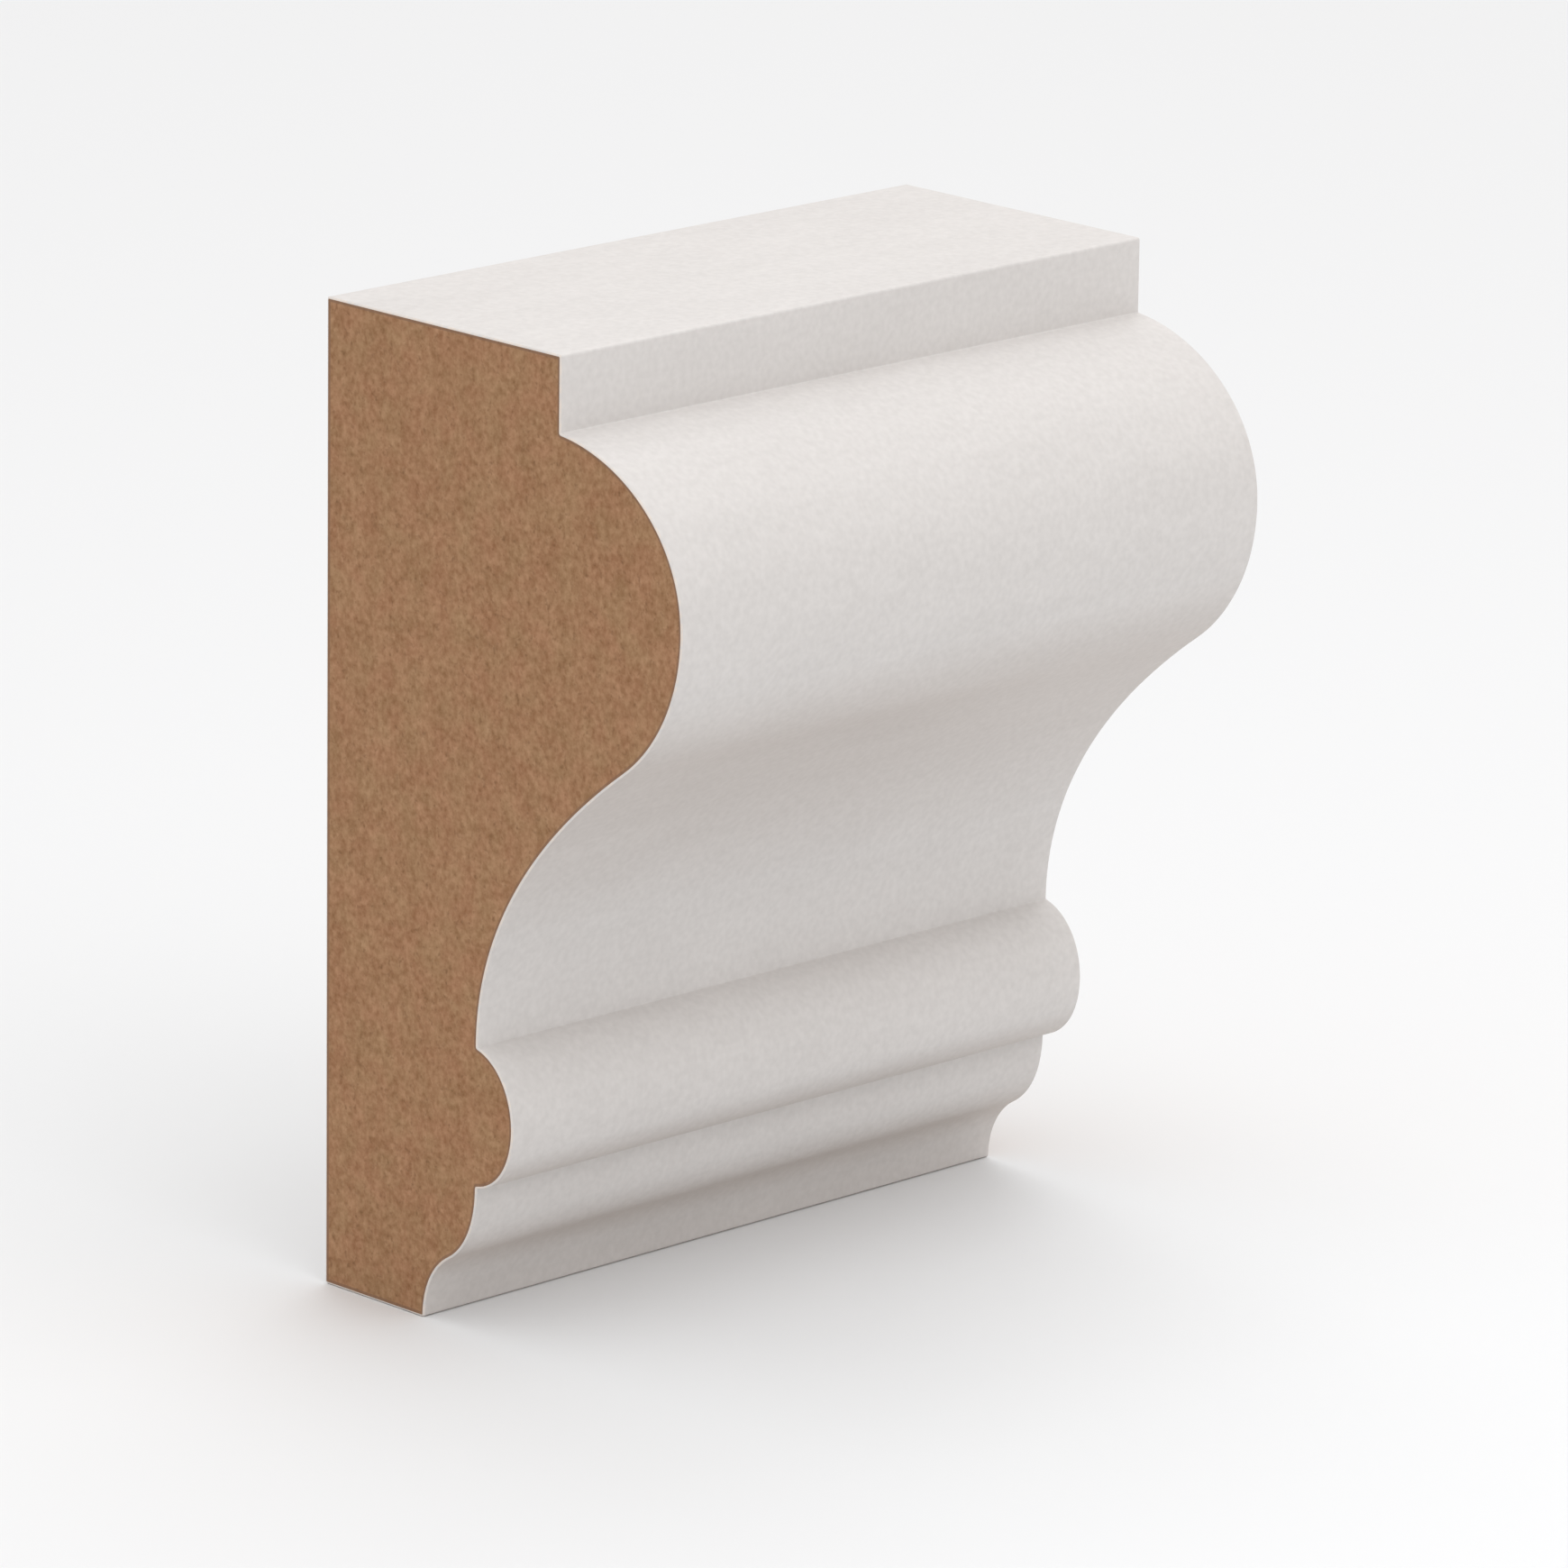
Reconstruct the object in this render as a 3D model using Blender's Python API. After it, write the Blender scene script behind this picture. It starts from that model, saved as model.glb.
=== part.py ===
"""Inlay moulding: a short length of primed MDF trim, cut square at both ends.

The face, from the top down: a plain square fillet, a large ovolo that swells out past the
fillet and turns under, a cove, a small bead on a narrow step, and an ogee down to the foot.

Frame, in metres: X runs along the moulding with 0 halfway, Y is the depth, with the flat back
at 0 and the face towards -Y, and Z is the height, with 0 halfway up the back.
"""

from collections import namedtuple
from math import cos, hypot, radians, sin

import bpy

MM = 0.001

# The strip of board that the moulding is cut from
LENGTH = 39.3 * MM
HEIGHT = 50.0 * MM
PROJECTION = 25.0 * MM

# Top of the face, stacked down from the top edge and back from the ovolo's nose
FILLET_HEIGHT = 3.8 * MM
OVOLO_CROWN_HEIGHT = 8.25 * MM
OVOLO_CROWN_DEPTH = 8.45 * MM
OVOLO_UNDERSIDE_HEIGHT = 7.55 * MM
OVOLO_UNDERSIDE_DEPTH = 3.85 * MM

# Bottom of the face, stacked up from the foot and out from the back. The cove takes what is left.
FOOT_DEPTH = 7.25 * MM
OGEE_HOLLOW_HEIGHT = 3.4 * MM
OGEE_HOLLOW_DEPTH = 1.75 * MM
OGEE_SWELL_HEIGHT = 4.1 * MM
OGEE_SWELL_DEPTH = 2.0 * MM
BEAD_THROW = 2.55 * MM
BEAD_UNDERSIDE_HEIGHT = 3.45 * MM
BEAD_CROWN_HEIGHT = 3.7 * MM

# Directions of the face in degrees, as it is followed down: 0 heads out from the back, 90 is
# plumb, and past 90 it heads back in
PLUMB = 90
OVOLO_START = 6
OVOLO_TO_COVE = 144
BEAD_START = 14
BEAD_END = 172
OGEE_TURN = 150

# Straight pieces that each curved stretch is drawn with
CURVE_STEPS = 16

PRIMER_COLOUR = (0.668, 0.641, 0.623, 1.0)
PRIMER_ROUGHNESS = 0.5

# A point of the section. arrive and leave are the face's directions there, or None beside a
# straight edge. depth is counted out from the back, and height up from the foot.
Station = namedtuple("Station", "depth height arrive leave")


def section():
    """The closed section: down the face from the top edge, then back along the foot and up the back."""
    top_depth = PROJECTION - OVOLO_CROWN_DEPTH
    fillet_foot = HEIGHT - FILLET_HEIGHT
    nose_height = fillet_foot - OVOLO_CROWN_HEIGHT
    turn_height = nose_height - OVOLO_UNDERSIDE_HEIGHT
    turn_depth = PROJECTION - OVOLO_UNDERSIDE_DEPTH

    ogee_turn_depth = FOOT_DEPTH + OGEE_HOLLOW_DEPTH
    step_depth = ogee_turn_depth + OGEE_SWELL_DEPTH
    bead_foot = OGEE_HOLLOW_HEIGHT + OGEE_SWELL_HEIGHT
    bead_nose = bead_foot + BEAD_UNDERSIDE_HEIGHT
    bead_top = bead_nose + BEAD_CROWN_HEIGHT

    return [
        Station(0, HEIGHT, None, None),
        Station(top_depth, HEIGHT, None, None),
        Station(top_depth, fillet_foot, None, OVOLO_START),
        Station(PROJECTION, nose_height, PLUMB, PLUMB),
        Station(turn_depth, turn_height, OVOLO_TO_COVE, OVOLO_TO_COVE),
        Station(step_depth, bead_top, PLUMB, BEAD_START),
        Station(step_depth + BEAD_THROW, bead_nose, PLUMB, PLUMB),
        Station(step_depth, bead_foot, BEAD_END, PLUMB),
        Station(ogee_turn_depth, OGEE_HOLLOW_HEIGHT, OGEE_TURN, OGEE_TURN),
        Station(FOOT_DEPTH, 0, PLUMB, None),
        Station(0, 0, None, None),
    ]


def handle_reach(start, end):
    """How far a curve's handles reach between two stations, so that it swells like an arc."""
    chord = hypot(end.depth - start.depth, end.height - start.height)
    turn = radians(abs(end.arrive - start.leave))
    return chord / (3 * cos(turn / 4) ** 2)


def handle_point(station, direction, reach):
    """The point that lies reach away from a station along a direction of the face."""
    angle = radians(direction)
    return (station.depth + reach * cos(angle), station.height - reach * sin(angle), 0)


def section_curve(name):
    """The section as a flat Bezier curve, depth along its X and height along its Y, thickened to LENGTH."""
    curve = bpy.data.curves.new(name, "CURVE")
    curve.dimensions = "2D"
    curve.fill_mode = "BOTH"
    curve.extrude = LENGTH / 2
    curve.resolution_u = CURVE_STEPS

    stations = section()
    spline = curve.splines.new("BEZIER")
    spline.bezier_points.add(len(stations) - 1)
    spline.use_cyclic_u = True
    points = spline.bezier_points
    for point, station in zip(points, stations):
        point.co = (station.depth, station.height, 0)
        point.handle_left_type = point.handle_right_type = "VECTOR"

    for start, end, point, next_point in zip(stations, stations[1:], points, points[1:]):
        if start.leave is None:
            continue
        reach = handle_reach(start, end)
        point.handle_right_type = next_point.handle_left_type = "FREE"
        point.handle_right = handle_point(start, start.leave, reach)
        next_point.handle_left = handle_point(end, end.arrive, -reach)
    return curve


def primer_material():
    """Factory primer over MDF: a warm off-white with a low sheen."""
    material = bpy.data.materials.new("primed_mdf")
    material.use_nodes = True
    shader = material.node_tree.nodes["Principled BSDF"]
    shader.inputs["Base Color"].default_value = PRIMER_COLOUR
    shader.inputs["Roughness"].default_value = PRIMER_ROUGHNESS
    shader.inputs["Metallic"].default_value = 0.0
    return material


def build_moulding(collection):
    """One length of moulding, its section stood upright and run along X, the back's middle at 0."""
    moulding = bpy.data.objects.new("inlay_moulding", section_curve("inlay_moulding"))
    moulding.data.materials.append(primer_material())
    moulding.rotation_euler = (radians(90), 0, radians(-90))
    moulding.location = (0, 0, -HEIGHT / 2)
    collection.objects.link(moulding)
    return moulding


def main():
    for old in list(bpy.data.objects):
        bpy.data.objects.remove(old, do_unlink=True)
    collection = bpy.data.collections.new("inlay_moulding")
    bpy.context.scene.collection.children.link(collection)
    build_moulding(collection)


main()
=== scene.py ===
"""Looks of the inlay moulding: primed faces, bare fibreboard on the sawn ends, a pale studio floor.

Metres, in the frame of the CAD: X along the moulding, the back at Y 0 with the face towards -Y,
Z up. The moulding's section is read from the CAD solid, so the two can't drift apart.
"""

import math
from collections import defaultdict

import bmesh
import bpy
import numpy as np
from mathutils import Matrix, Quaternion, Vector, noise
from mathutils.geometry import delaunay_2d_cdt


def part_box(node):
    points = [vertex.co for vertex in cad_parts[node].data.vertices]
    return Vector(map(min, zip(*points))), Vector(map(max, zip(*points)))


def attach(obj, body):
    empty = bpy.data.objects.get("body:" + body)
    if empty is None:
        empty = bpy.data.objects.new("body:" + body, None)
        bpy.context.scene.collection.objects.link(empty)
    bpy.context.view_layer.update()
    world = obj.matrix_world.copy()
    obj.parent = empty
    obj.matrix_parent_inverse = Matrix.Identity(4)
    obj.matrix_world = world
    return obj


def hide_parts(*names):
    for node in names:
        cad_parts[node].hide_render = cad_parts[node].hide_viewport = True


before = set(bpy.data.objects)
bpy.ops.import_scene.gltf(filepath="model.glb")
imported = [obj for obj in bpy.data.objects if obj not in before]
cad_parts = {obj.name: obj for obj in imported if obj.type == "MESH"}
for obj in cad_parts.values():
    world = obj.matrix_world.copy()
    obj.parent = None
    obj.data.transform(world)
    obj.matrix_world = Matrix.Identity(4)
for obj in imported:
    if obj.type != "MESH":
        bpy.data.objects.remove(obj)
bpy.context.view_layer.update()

NODE = "inlay_moulding"
MM = 0.001

# Camera, at the photograph's angle: degrees round from the front, up and tipped over
CAMERA_AZIMUTH = -44.35
CAMERA_ELEVATION = 15.45
CAMERA_TILT = 0.80
CAMERA_DISTANCE = 518.1 * MM
CAMERA_RIGHT = -0.44 * MM
CAMERA_DOWN = 0.38 * MM
LENS_MM = 241.4
SENSOR_MM = 36
CLIP_START = 0.05
CLIP_END = 20

# Reading the section: how close two points or planes count as one
SAME_POINT = 0.001 * MM
SAME_PLANE = 0.01 * MM

# Corners and edges of the section
CORNER_TURN = math.radians(20)
ARRIS_EASE = 0.16 * MM
ARRIS_EASE_PAST_INSET = 0.02 * MM
HOLLOW_EASE = 0.06 * MM
CORNER_STEPS = 4
CURVE_STEPS = 8

# Spacing of the mesh on the face, on the flat sides and along the length
FACE_SPACING = 0.25 * MM
FLAT_SPACING = 1.0 * MM
FEWEST_STEPS = 4
LENGTH_SEGMENTS = 60
SHARP_ANGLE = math.radians(38)

# Net of triangles on a sawn end, and how much of its spacing stays clear of the rim
END_SPACING = 0.45 * MM
RIM_CLEARANCE = 0.6

# For the triangulation: which faces to keep, and how close two points count as one
ONLY_INSIDE = 1
NET_TOLERANCE = 1e-9

# A sawn end, from the outside in: the saw's arris, the primer film, board soaked by it, bare board
SAWN_BEVEL = 0.06 * MM
FILM = 0.04 * MM
SOAKED = 0.14 * MM
BOARD_RECESS = 0.02 * MM
FUZZ_DEPTH = 0.012 * MM
FUZZ_SIZE = 1.1 * MM

# How far from the middle of the noise each end's fuzz is taken, so that the two ends differ
FUZZ_OFFSET = 7

# Slight unevenness of the primed faces, drawn out along the length
RIPPLE_DEPTH = 0.006 * MM
RIPPLE_SIZE = 2.2 * MM
RIPPLE_STRETCH = 9.0

# A small inset that tells which way is inwards at each point of the outline
TRIAL_INSET = 0.01 * MM

# Patterns of the finishes: size of their patches, and how far some are drawn out along X, Y and Z
PRIMER_GRAIN = 0.36 * MM
PRIMER_STREAKS = 1.3 * MM
STREAK_STRETCH = (22, 1, 1)
PRIMER_MOTTLE = 3.5 * MM
MOTTLE_STRETCH = (2, 1, 1)
BOARD_GRAIN = 0.30 * MM
BOARD_CLUMPS = 1.5 * MM
BOARD_TINT = 1.8 * MM
BOARD_FLECKS = 0.26 * MM
BACK_FLECKS = 0.5 * MM
BACK_FLECK_STRETCH = (2.5, 1, 1)
BACK_PATCHES = 9 * MM
BACK_PATCH_STRETCH = (1.6, 1, 1)

# Depth of their bumps
PRIMER_BUMP = 0.006 * MM
BOARD_BUMP = 0.010 * MM
BACK_BUMP = 0.012 * MM

# Colours, linear
PRIMER_LIGHT = (0.712, 0.684, 0.666, 1.0)
PRIMER_DARK = (0.624, 0.597, 0.579, 1.0)
# Paler primer for the sawn edge: partly a fresh cut, partly a painted highlight along the edge
PRIMER_CUT_HIGHLIGHT = (0.800, 0.715, 0.645, 1.0)
PALE_TAN = (0.503, 0.308, 0.172, 1.0)
PALE_RED = (0.517, 0.293, 0.168, 1.0)
DARK_TAN = (0.252, 0.127, 0.054, 1.0)
DARK_RED = (0.262, 0.118, 0.052, 1.0)
FLECK_BROWN = (0.160, 0.077, 0.033, 1.0)
SOAKED_BROWN = (0.225, 0.122, 0.070, 1.0)
# Painted shade: the darker tan mixed into the primer on faces turned down and along the foot
PAINTED_SHADE_TAN = (0.300, 0.200, 0.130, 1.0)
FLOOR_WHITE = (0.838, 0.846, 0.855, 1.0)

# Share of the second colour where a pattern is strongest
FLECK_SHARE = 0.55
SOAKED_SHARE = 0.7
BACK_FLECK_SHARE = 0.3
BACK_PATCH_SHARE = 0.105

ROUGHNESS = {
    "primer": 0.5,
    "cut_primer_highlight": 0.6,
    "bare_board": 0.9,
    "soaked_board": 0.8,
    "thin_primer": 0.65,
    "floor_white": 0.9,
}
BOARD_SPECULAR = 0.2
FLOOR_SPECULAR = 0.1

# Painted shade on faces turned down: a darker tan mixed into the primer by the Z of the face's
# normal. The primer thins on faces turned down, by the Z of the face's normal. This is a guess: nothing
# in the photograph shows a thinner coat as such, and the amount is what the lights left over.
UNDERSIDE_SHADE_FROM = -0.38
UNDERSIDE_SHADE_TO = -0.86
UNDERSIDE_SHADE_SHARE = 0.29

# Painted shade along the foot as well, by height, its amount set the same way. It also
# thins along the foot, by height, as the same kind of guess
FOOT_SHADE_FROM = -20.6 * MM
FOOT_SHADE_TO = -22.0 * MM
FOOT_SHADE_SHARE = 0.11

# Studio: the floor, the room's own light, and soft boxes
FLOOR_SIZE = 8
FLOOR_GAP = 0.02 * MM
ROOM_LIGHT = 0.73
ROOM_COLOUR = (1.0, 0.978, 0.960, 1.0)
SOFT_BOX_COLOUR = (0.985, 1.0, 1.015)

# Each soft box: azimuth and elevation in degrees, distance and width in metres, watts
SOFT_BOXES = {
    "overhead": (0, 90, 1.2, 1.0, 2.7),
    "front": (0, 55, 0.35, 0.3, 0.35),
    "behind_right": (135, 50, 1.2, 0.9, 2.1),
}

# Places of the materials in the moulding's list
PRIMED, BOARD, SOAKED_BOARD, BACK, CUT_HIGHLIGHT = range(5)


# Section, read from the CAD solid


def end_outline(cad):
    """The solid's outline at its -X end, as (depth, height) from the top back corner down the face."""
    mesh = bmesh.new()
    mesh.from_mesh(cad.data)
    bmesh.ops.remove_doubles(mesh, verts=mesh.verts, dist=SAME_POINT)
    end = min(v.co.x for v in mesh.verts)
    cap = {f for f in mesh.faces if all(abs(v.co.x - end) < SAME_PLANE for v in f.verts)}
    beside = defaultdict(list)
    for edge in mesh.edges:
        if sum(f in cap for f in edge.link_faces) == 1:
            a, b = edge.verts
            beside[a].append(b)
            beside[b].append(a)
    here = max(beside, key=lambda v: v.co.y + v.co.z)
    before = min(beside[here], key=lambda v: v.co.z)
    loop = []
    for _ in range(len(beside)):
        loop.append((-here.co.y, here.co.z))
        here, before = next(v for v in beside[here] if v is not before), here
    mesh.free()
    return np.array(loop)


def turn_at(loop, i):
    """How far the outline turns at point i, in radians: negative at an outer corner."""
    arrive = loop[i] - loop[i - 1]
    leave = loop[(i + 1) % len(loop)] - loop[i]
    cross = arrive[0] * leave[1] - arrive[1] * leave[0]
    return math.atan2(cross, float(arrive @ leave))


def smooth_through(points):
    """A smooth curve through points, or the two points of a straight stretch."""
    if len(points) == 2:
        return points
    first = 3 * points[0] - 3 * points[1] + points[2]
    last = 3 * points[-1] - 3 * points[-2] + points[-3]
    p = np.vstack([first, points, last])
    t = (np.arange(CURVE_STEPS) / CURVE_STEPS)[:, None]
    runs = []
    for a, b, c, d in zip(p, p[1:], p[2:], p[3:]):
        square = 2 * a - 5 * b + 4 * c - d
        cube = 3 * b - a - 3 * c + d
        runs.append(0.5 * (2 * b + (c - a) * t + square * t**2 + cube * t**3))
    return np.vstack([*runs, points[-1:]])


class Stretch:
    """One side of the section between two corners, measured along its length."""

    def __init__(self, points):
        self.line = smooth_through(points)
        steps = np.diff(self.line, axis=0)
        self.reach = np.r_[0, np.cumsum(np.hypot(*steps.T))]
        self.length = self.reach[-1]
        self.flat = len(points) == 2
        self.is_back = self.flat and points[:, 0].max() < SAME_PLANE
        way = np.vstack([steps, steps]) if self.flat else np.gradient(self.line, axis=0)
        way /= np.hypot(*way.T)[:, None]
        self.inward = np.c_[way[:, 1], -way[:, 0]]

    def read(self, values, at):
        """The values given for the line's points, read at these lengths along the stretch."""
        return np.c_[np.interp(at, self.reach, values[:, 0]), np.interp(at, self.reach, values[:, 1])]

    def sample(self, start, end, count, inset):
        """count + 1 points from start to end along the stretch, moved into the section by inset."""
        at = np.linspace(start, end, count + 1)
        normal = self.read(self.inward, at)
        normal /= np.hypot(*normal.T)[:, None]
        return self.read(self.line, at) + inset * normal


class Section:
    """The outline as stretches and eased corners. Loops at any inset have the same number of points."""

    def __init__(self, loop):
        turns = [turn_at(loop, i) for i in range(len(loop))]
        at = [i for i, turn in enumerate(turns) if abs(turn) > CORNER_TURN]
        self.outer = [turns[i] < 0 for i in at]
        self.corners = loop[at]
        self.stretches = []
        self.counts = []
        for start, end in zip(at, at[1:] + [at[0] + len(loop)]):
            stretch = Stretch(loop.take(range(start, end + 1), axis=0, mode="wrap"))
            spacing = FLAT_SPACING if stretch.flat else FACE_SPACING
            self.stretches.append(stretch)
            self.counts.append(max(FEWEST_STEPS, round(stretch.length / spacing)))

    def ease(self, corner, inset):
        """How far from a corner its rounding starts."""
        if self.outer[corner % len(self.outer)]:
            return max(ARRIS_EASE, inset + ARRIS_EASE_PAST_INSET)
        return HOLLOW_EASE

    def loop(self, inset):
        """The outline moved inwards by inset, its corners eased."""
        runs = []
        for i, (stretch, count) in enumerate(zip(self.stretches, self.counts)):
            start, end = self.ease(i, inset), stretch.length - self.ease(i + 1, inset)
            runs.append(stretch.sample(start, end, count, inset))
        points = []
        for i, run in enumerate(runs):
            after = (i + 1) % len(runs)
            points += list(run)
            points += self.corner_points(run[-1], after, runs[after][0], inset)
        return np.array(points)

    def corner_points(self, start, corner, end, inset):
        """Points of the eased corner between two stretches, without its ends."""
        one = self.stretches[corner - 1].inward[-1]
        two = self.stretches[corner].inward[0]
        control = self.corners[corner] + inset * (one + two) / (1 + one @ two)
        t = (np.arange(1, CORNER_STEPS) / CORNER_STEPS)[:, None]
        return list((1 - t) ** 2 * start + 2 * t * (1 - t) * control + t**2 * end)

    def back_edges(self):
        """Which edges of a loop lie on the flat back."""
        flags = []
        for stretch, count in zip(self.stretches, self.counts):
            flags += [stretch.is_back] * count + [False] * CORNER_STEPS
        return flags


# Mesh of the moulding


class Skin:
    """Vertices, faces and their materials, gathered for one mesh."""

    def __init__(self):
        self.points, self.faces, self.kinds = [], [], []

    def add_loop(self, loop, x):
        """Adds a loop of the section at x, and returns the numbers of its vertices."""
        first = len(self.points)
        self.points += [(x, -depth, height) for depth, height in loop]
        return range(first, len(self.points))

    def bridge(self, one, two, kinds, turned):
        """Joins two loops of equal count by quads. turned swaps which way the quads face."""
        count = len(one)
        for i in range(count):
            j = (i + 1) % count
            quad = (one[i], one[j], two[j], two[i])
            self.faces.append(quad[::-1] if turned else quad)
            self.kinds.append(kinds[i])

    def cap(self, rim, loop, x, sign):
        """Fills a loop with an even net of triangles, its inner points moved by the board's fuzz."""
        inner = net_inside(loop)
        flat = [Vector(p) for p in np.vstack([loop, inner])]
        border = [(i, (i + 1) % len(loop)) for i in range(len(loop))]
        points, _, faces, origins, _, _ = delaunay_2d_cdt(flat, border, [], ONLY_INSIDE, NET_TOLERANCE)
        index = []
        for point, origin in zip(points, origins):
            on_rim = [o for o in origin if o < len(loop)]
            if on_rim:
                index.append(rim[on_rim[0]])
                continue
            where = Vector((sign * FUZZ_OFFSET, point.x, point.y)) / FUZZ_SIZE
            lift = FUZZ_DEPTH * noise.noise(where) * sign
            index.append(len(self.points))
            self.points.append((x + lift, -point.x, point.y))
        for face in faces:
            triangle = tuple(index[i] for i in face)
            faces_in = facing_x(self.points, triangle) * sign < 0
            self.faces.append(triangle[::-1] if faces_in else triangle)
            self.kinds.append(BOARD)


def facing_x(points, triangle):
    """Positive where a triangle faces +X, negative where it faces -X."""
    a, b, c = (Vector(points[i]) for i in triangle)
    return (b - a).cross(c - a).x


def net_inside(loop):
    """Points of an even triangular net that lie inside the loop and clear of it."""
    low, high = loop.min(0), loop.max(0)
    row_height = END_SPACING * math.sqrt(0.75)
    inside = []
    for row, height in enumerate(np.arange(low[1], high[1], row_height)):
        shift = END_SPACING / 2 * (row % 2)
        for depth in np.arange(low[0] + shift, high[0], END_SPACING):
            point = np.array([depth, height])
            if clear_inside(point, loop):
                inside.append(point)
    return np.array(inside)


def clear_inside(point, loop):
    """True for a point inside the loop that keeps most of a net's spacing from its edges."""
    after = np.roll(loop, -1, axis=0)
    side = after - loop
    t = np.clip(((point - loop) * side).sum(1) / (side**2).sum(1), 0, 1)
    gap = np.hypot(*(point - loop - side * t[:, None]).T).min()
    if gap < RIM_CLEARANCE * END_SPACING:
        return False
    crosses = (loop[:, 1] > point[1]) != (after[:, 1] > point[1])
    rise = np.where(crosses, side[:, 1], 1)
    at = loop[:, 0] + side[:, 0] * (point[1] - loop[:, 1]) / rise
    return bool((crosses & (point[0] < at)).sum() % 2)


def rippled(loop, inward, x):
    """A loop of the primed sides at x, with the slight unevenness of a primed face."""
    where = np.c_[np.full(len(loop), x / RIPPLE_STRETCH), loop] / RIPPLE_SIZE
    sink = [RIPPLE_DEPTH * max(0, 0.5 + noise.noise(Vector(w))) for w in where]
    return loop + inward * np.array(sink)[:, None]


def moulding_mesh(section, half):
    """The whole skin: primed sides, eased arrises, and two sawn ends with the primer's cut edge."""
    skin = Skin()
    sides = section.loop(0)
    inward = (section.loop(TRIAL_INSET) - sides) / TRIAL_INSET
    side_kinds = [BACK if back else PRIMED for back in section.back_edges()]
    # The sawn edge's paler primer, partly a painted highlight, on the saw's arris and the primer film
    cut = [CUT_HIGHLIGHT] * len(sides)
    soaked = [SOAKED_BOARD] * len(sides)

    xs = np.linspace(-(half - SAWN_BEVEL), half - SAWN_BEVEL, LENGTH_SEGMENTS + 1)
    rings = [skin.add_loop(rippled(sides, inward, x), x) for x in xs]
    for one, two in zip(rings, rings[1:]):
        skin.bridge(one, two, side_kinds, turned=False)

    insets = (SAWN_BEVEL, SAWN_BEVEL + FILM, SAWN_BEVEL + FILM + SOAKED)
    for sign, ring in ((-1, rings[0]), (1, rings[-1])):
        steps = zip(insets, (half, half, half - BOARD_RECESS), (cut, cut, soaked))
        for inset, x, kinds in steps:
            loop = section.loop(inset)
            next_ring = skin.add_loop(loop, sign * x)
            skin.bridge(ring, next_ring, kinds, turned=sign < 0)
            ring = next_ring
        skin.cap(ring, loop, sign * (half - BOARD_RECESS), sign)

    mesh = bpy.data.meshes.new("moulding_skin")
    mesh.from_pydata(skin.points, [], skin.faces)
    mesh.polygons.foreach_set("material_index", skin.kinds)
    mesh.shade_smooth()
    mesh.set_sharp_from_angle(angle=SHARP_ANGLE)
    return mesh


# Materials


def feed(tree, socket, value):
    """Links a value that is itself a socket, and sets any other."""
    if isinstance(value, bpy.types.NodeSocket):
        tree.links.new(value, socket)
    else:
        socket.default_value = value


def node(tree, kind, settings=None, **inputs):
    """Adds a shader node. An input's name has _ for each space."""
    made = tree.nodes.new("ShaderNode" + kind)
    for name, value in (settings or {}).items():
        setattr(made, name, value)
    for name, value in inputs.items():
        feed(tree, made.inputs[name.replace("_", " ")], value)
    return made


def clouds(tree, size, detail=2.0, stretch=(1, 1, 1), low=0.35, high=0.65):
    """Noise from 0 to 1 whose patches are about size across, drawn out by stretch along the axes."""
    where = node(tree, "TexCoord").outputs["Object"]
    scale = [1 / (size * s) for s in stretch]
    placed = node(tree, "Mapping", Vector=where, Scale=scale).outputs["Vector"]
    raw = node(tree, "TexNoise", Vector=placed, Scale=1.0, Detail=detail).outputs["Fac"]
    return node(tree, "MapRange", Value=raw, From_Min=low, From_Max=high).outputs["Result"]


def mixed(tree, share, one, two):
    """The colour one, turning into the colour two as share goes from 0 to 1."""
    mix = node(tree, "Mix", {"data_type": "RGBA"})
    # The node has like-named sockets for each kind of data: 6, 7 and output 2 are those for colours
    for socket, value in ((0, share), (6, one), (7, two)):
        feed(tree, mix.inputs[socket], value)
    return mix.outputs[2]


def computed(tree, operation, one, two):
    """The outcome of a Math node."""
    made = node(tree, "Math", {"operation": operation})
    feed(tree, made.inputs[0], one)
    feed(tree, made.inputs[1], two)
    return made.outputs[0]


def times(tree, one, two):
    return computed(tree, "MULTIPLY", one, two)


def plus(tree, one, two):
    return computed(tree, "ADD", one, two)


def blended(tree, first, *rest):
    """The sum of some patterns, each given with its share."""
    total = times(tree, *first)
    for pattern, share in rest:
        total = plus(tree, total, times(tree, pattern, share))
    return total


def new_material(name):
    material = bpy.data.materials.new(name)
    material.use_nodes = True
    shader = material.node_tree.nodes["Principled BSDF"]
    shader.inputs["Roughness"].default_value = ROUGHNESS[name]
    return material, material.node_tree, shader


def raised(tree, shader, height, depth):
    """Gives a shader a bump of that depth in metres."""
    bump = node(tree, "Bump", Height=height, Distance=depth, Strength=1.0)
    tree.links.new(bump.outputs["Normal"], shader.inputs["Normal"])


def shade_share(tree, by, start, end, share):
    """The painted shade's share, growing as the Z of the normal or of the place goes from start to end.
    """
    where = node(tree, "TexCoord").outputs[by]
    height = node(tree, "SeparateXYZ", Vector=where).outputs["Z"]
    # Share of the painted shade
    thin = node(tree, "MapRange", Value=height, From_Min=start, From_Max=end, To_Max=share)
    return thin.outputs["Result"]


def primer_colour(tree):
    """The primer's colour, and the height of its fine grain and of its streaks along the length."""
    grain = clouds(tree, PRIMER_GRAIN, 1.0, low=0.25, high=0.75)
    streaks = clouds(tree, PRIMER_STREAKS, 1.0, STREAK_STRETCH, low=0.3, high=0.7)
    mottle = clouds(tree, PRIMER_MOTTLE, 2.0, MOTTLE_STRETCH, low=0.3, high=0.7)
    share = blended(tree, (grain, 0.65), (streaks, 0.15), (mottle, 0.2))
    return mixed(tree, share, PRIMER_DARK, PRIMER_LIGHT), grain, streaks


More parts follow.
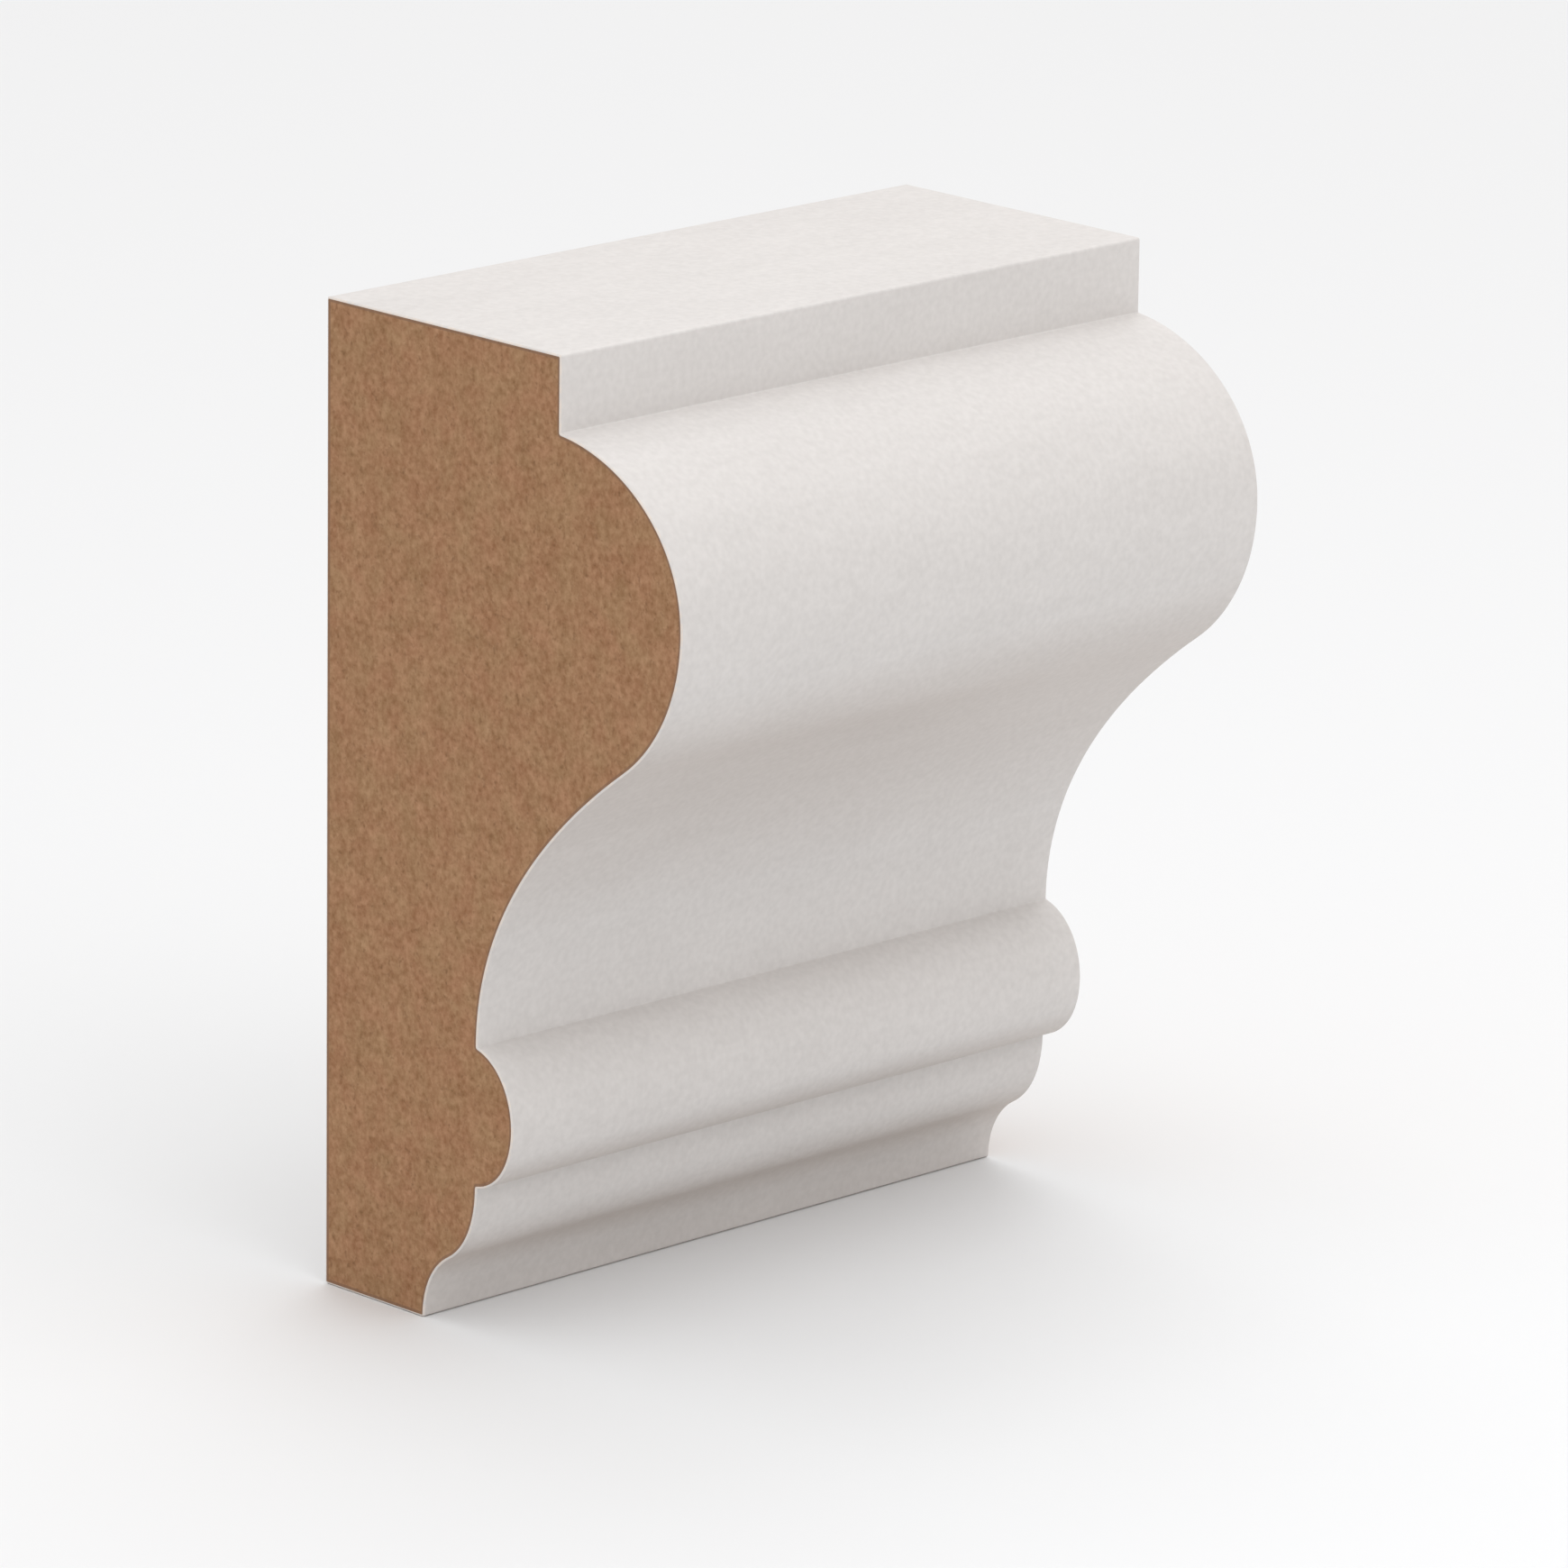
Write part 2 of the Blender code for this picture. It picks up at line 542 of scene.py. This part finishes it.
def primer_material():
    """Sanded factory primer: warm off-white, satin matt, finely grained, streaked along the length,
    with painted shade on faces turned down and along the foot.
    """
    material, tree, shader = new_material("primer")
    colour, grain, streaks = primer_colour(tree)
    # Painted shade: a darker tan mixed in on faces turned down and along the foot
    underside_shade = shade_share(tree, "Normal", UNDERSIDE_SHADE_FROM, UNDERSIDE_SHADE_TO, UNDERSIDE_SHADE_SHARE)
    foot_shade = shade_share(tree, "Object", FOOT_SHADE_FROM, FOOT_SHADE_TO, FOOT_SHADE_SHARE)
    colour = mixed(tree, plus(tree, underside_shade, foot_shade), colour, PAINTED_SHADE_TAN)
    tree.links.new(colour, shader.inputs["Base Color"])
    raised(tree, shader, blended(tree, (grain, 0.35), (streaks, 0.65)), PRIMER_BUMP)
    return material


def cut_highlight_material():
    """The primer's edge at the saw cut, paler than its face: partly a fresh cut, partly a painted
    highlight along the edge.
    """
    material, tree, shader = new_material("cut_primer_highlight")
    grain = clouds(tree, PRIMER_GRAIN, 1.0)
    colour = mixed(tree, grain, PRIMER_LIGHT, PRIMER_CUT_HIGHLIGHT)
    tree.links.new(colour, shader.inputs["Base Color"])
    return material


def board_colour(tree):
    """The board's colour and the height of its grain: tan and red-brown fibres in grains and clumps."""
    tint = clouds(tree, BOARD_TINT, 3.0)
    grain = clouds(tree, BOARD_GRAIN, 2.0, low=0.2, high=0.8)
    clumps = clouds(tree, BOARD_CLUMPS, 2.0, low=0.2, high=0.8)
    share = blended(tree, (grain, 0.75), (clumps, 0.25))
    dark = mixed(tree, tint, DARK_TAN, DARK_RED)
    pale = mixed(tree, tint, PALE_TAN, PALE_RED)
    fibres = mixed(tree, share, dark, pale)
    flecks = clouds(tree, BOARD_FLECKS, 1.0, low=0.60, high=0.85)
    return mixed(tree, times(tree, flecks, FLECK_SHARE), fibres, FLECK_BROWN), grain


def board_material():
    """Sawn fibreboard: tightly packed grains of tan and red-brown fibre, dull and slightly fuzzy."""
    material, tree, shader = new_material("bare_board")
    colour, grain = board_colour(tree)
    tree.links.new(colour, shader.inputs["Base Color"])
    shader.inputs["Specular IOR Level"].default_value = BOARD_SPECULAR
    raised(tree, shader, grain, BOARD_BUMP)
    return material


def soaked_material():
    """The thin line of board that the primer has soaked into, a little darker than the rest."""
    material, tree, shader = new_material("soaked_board")
    colour, _ = board_colour(tree)
    colour = mixed(tree, SOAKED_SHARE, colour, SOAKED_BROWN)
    tree.links.new(colour, shader.inputs["Base Color"])
    return material


def back_material():
    """The back's single thin coat: the board shows through it in flecks."""
    material, tree, shader = new_material("thin_primer")
    colour, grain, _ = primer_colour(tree)
    thin = clouds(tree, BACK_FLECKS, 3.0, BACK_FLECK_STRETCH, low=0.58, high=0.78)
    patchy = clouds(tree, BACK_PATCHES, 2.0, BACK_PATCH_STRETCH, low=0.4, high=0.7)
    through = blended(tree, (thin, BACK_FLECK_SHARE), (patchy, BACK_PATCH_SHARE))
    tree.links.new(mixed(tree, through, colour, PALE_TAN), shader.inputs["Base Color"])
    raised(tree, shader, plus(tree, grain, thin), BACK_BUMP)
    return material


# The moulding


def build_moulding():
    low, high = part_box(NODE)
    section = Section(end_outline(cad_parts[NODE]))
    piece = bpy.data.objects.new("moulding", moulding_mesh(section, (high.x - low.x) / 2))
    bpy.context.scene.collection.objects.link(piece)
    for make in (primer_material, board_material, soaked_material, back_material, cut_highlight_material):
        piece.data.materials.append(make())
    even = piece.modifiers.new("even_normals", "WEIGHTED_NORMAL")
    even.keep_sharp = True
    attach(piece, "root")
    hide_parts(NODE)


# Studio


def build_floor():
    low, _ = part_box(NODE)
    bpy.ops.mesh.primitive_plane_add(size=FLOOR_SIZE, location=(0, 0, low.z - FLOOR_GAP))
    floor = bpy.context.active_object
    floor.name = "floor"
    material, _, shader = new_material("floor_white")
    shader.inputs["Base Color"].default_value = FLOOR_WHITE
    shader.inputs["Specular IOR Level"].default_value = FLOOR_SPECULAR
    floor.data.materials.append(material)


def build_room():
    """Soft light from everywhere, and a pale backdrop where the camera sees past the floor."""
    world = bpy.data.worlds.new("studio")
    bpy.context.scene.world = world
    world.use_nodes = True
    background = world.node_tree.nodes["Background"]
    background.inputs["Color"].default_value = ROOM_COLOUR
    background.inputs["Strength"].default_value = ROOM_LIGHT


def direction(azimuth, elevation):
    """The unit vector towards a place that is so many degrees round from the front, and up."""
    azimuth, elevation = math.radians(azimuth), math.radians(elevation)
    level = math.cos(elevation)
    return Vector((math.sin(azimuth) * level, -math.cos(azimuth) * level, math.sin(elevation)))


def build_soft_box(name, azimuth, elevation, distance, width, watts):
    """A round soft box that shines on the moulding, and that no camera sees."""
    lamp = bpy.data.objects.new(name, bpy.data.lights.new(name, "AREA"))
    bpy.context.scene.collection.objects.link(lamp)
    lamp.data.shape = "DISK"
    lamp.data.size = width
    lamp.data.energy = watts
    lamp.data.color = SOFT_BOX_COLOUR
    lamp.visible_camera = False
    out = direction(azimuth, elevation)
    lamp.location = out * distance
    lamp.rotation_mode = "QUATERNION"
    lamp.rotation_quaternion = out.to_track_quat("Z", "Y")


def build_camera():
    low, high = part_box(NODE)
    out = direction(CAMERA_AZIMUTH, CAMERA_ELEVATION)
    turned = out.to_track_quat("Z", "Y")
    camera = bpy.data.objects.new("camera", bpy.data.cameras.new("camera"))
    bpy.context.scene.collection.objects.link(camera)
    camera.data.sensor_width = SENSOR_MM
    camera.data.lens = LENS_MM
    camera.rotation_mode = "QUATERNION"
    camera.rotation_quaternion = turned @ Quaternion((0, 0, 1), math.radians(CAMERA_TILT))
    aside = camera.rotation_quaternion @ Vector((CAMERA_RIGHT, -CAMERA_DOWN, 0))
    camera.location = (low + high) / 2 + out * CAMERA_DISTANCE + aside
    camera.data.clip_start = CLIP_START
    camera.data.clip_end = CLIP_END
    bpy.context.scene.camera = camera


build_moulding()
build_floor()
build_room()
for name, box in SOFT_BOXES.items():
    build_soft_box(name, *box)
build_camera()
bpy.context.scene.view_settings.view_transform = "Standard"
